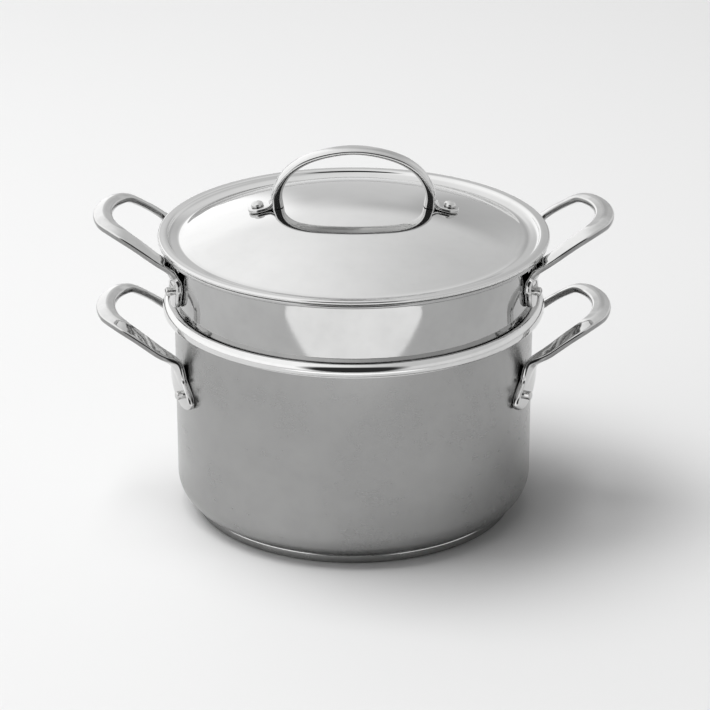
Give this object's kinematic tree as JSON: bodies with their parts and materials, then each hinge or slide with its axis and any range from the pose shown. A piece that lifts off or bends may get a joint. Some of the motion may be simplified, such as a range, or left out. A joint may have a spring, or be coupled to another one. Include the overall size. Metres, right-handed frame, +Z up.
{
  "type": "pasta pot with strainer insert",
  "caption": "Stainless steel pasta pot with a disc base, a lift-out perforated strainer insert and a domed lid, with riveted loop handles on both sides and an arched handle on the lid.",
  "frame": {"origin": "middle of the flat underside of the base, on the table", "axes": "+Z up along the pot's axis, +X towards the right-hand side handles, -Y towards the viewer of the picture"},
  "size_m": [0.3808, 0.2874, 0.2762],
  "materials": {
    "satin_steel": "soft-polished stainless sheet",
    "insert_steel": "polished stainless sheet",
    "lid_steel": "polished stainless sheet",
    "handle_steel": "mirror-polished stainless",
    "rivet_steel": "polished stainless",
    "base_steel": "turned stainless cap",
    "core_aluminium": "bare plate, hidden by the cap"
  },
  "bodies": {
    "pot": {"base_cap": "base_steel", "base_core": "core_aluminium", "pot_body": "satin_steel", "pot_handle_right": "handle_steel", "pot_handle_left": "handle_steel", "pot_rivet_right_front": "rivet_steel", "pot_rivet_right_back": "rivet_steel", "pot_rivet_left_front": "rivet_steel", "pot_rivet_left_back": "rivet_steel"},
    "insert": {"strainer_insert": "insert_steel", "insert_handle_right": "handle_steel", "insert_handle_left": "handle_steel", "insert_rivet_right_front": "rivet_steel", "insert_rivet_right_back": "rivet_steel", "insert_rivet_left_front": "rivet_steel", "insert_rivet_left_back": "rivet_steel"},
    "lid": {"lid": "lid_steel", "lid_handle": "handle_steel", "lid_rivet_right": "rivet_steel", "lid_rivet_left": "rivet_steel"}
  },
  "joints": [
    {"name": "insert_lift", "type": "slide", "parent": "pot", "child": "insert", "axis": [0, 0, 1], "range_m": [0, 0.16]},
    {"name": "lid_lift", "type": "slide", "parent": "insert", "child": "lid", "axis": [0, 0, 1], "range_m": [0, 0.08]}
  ]
}
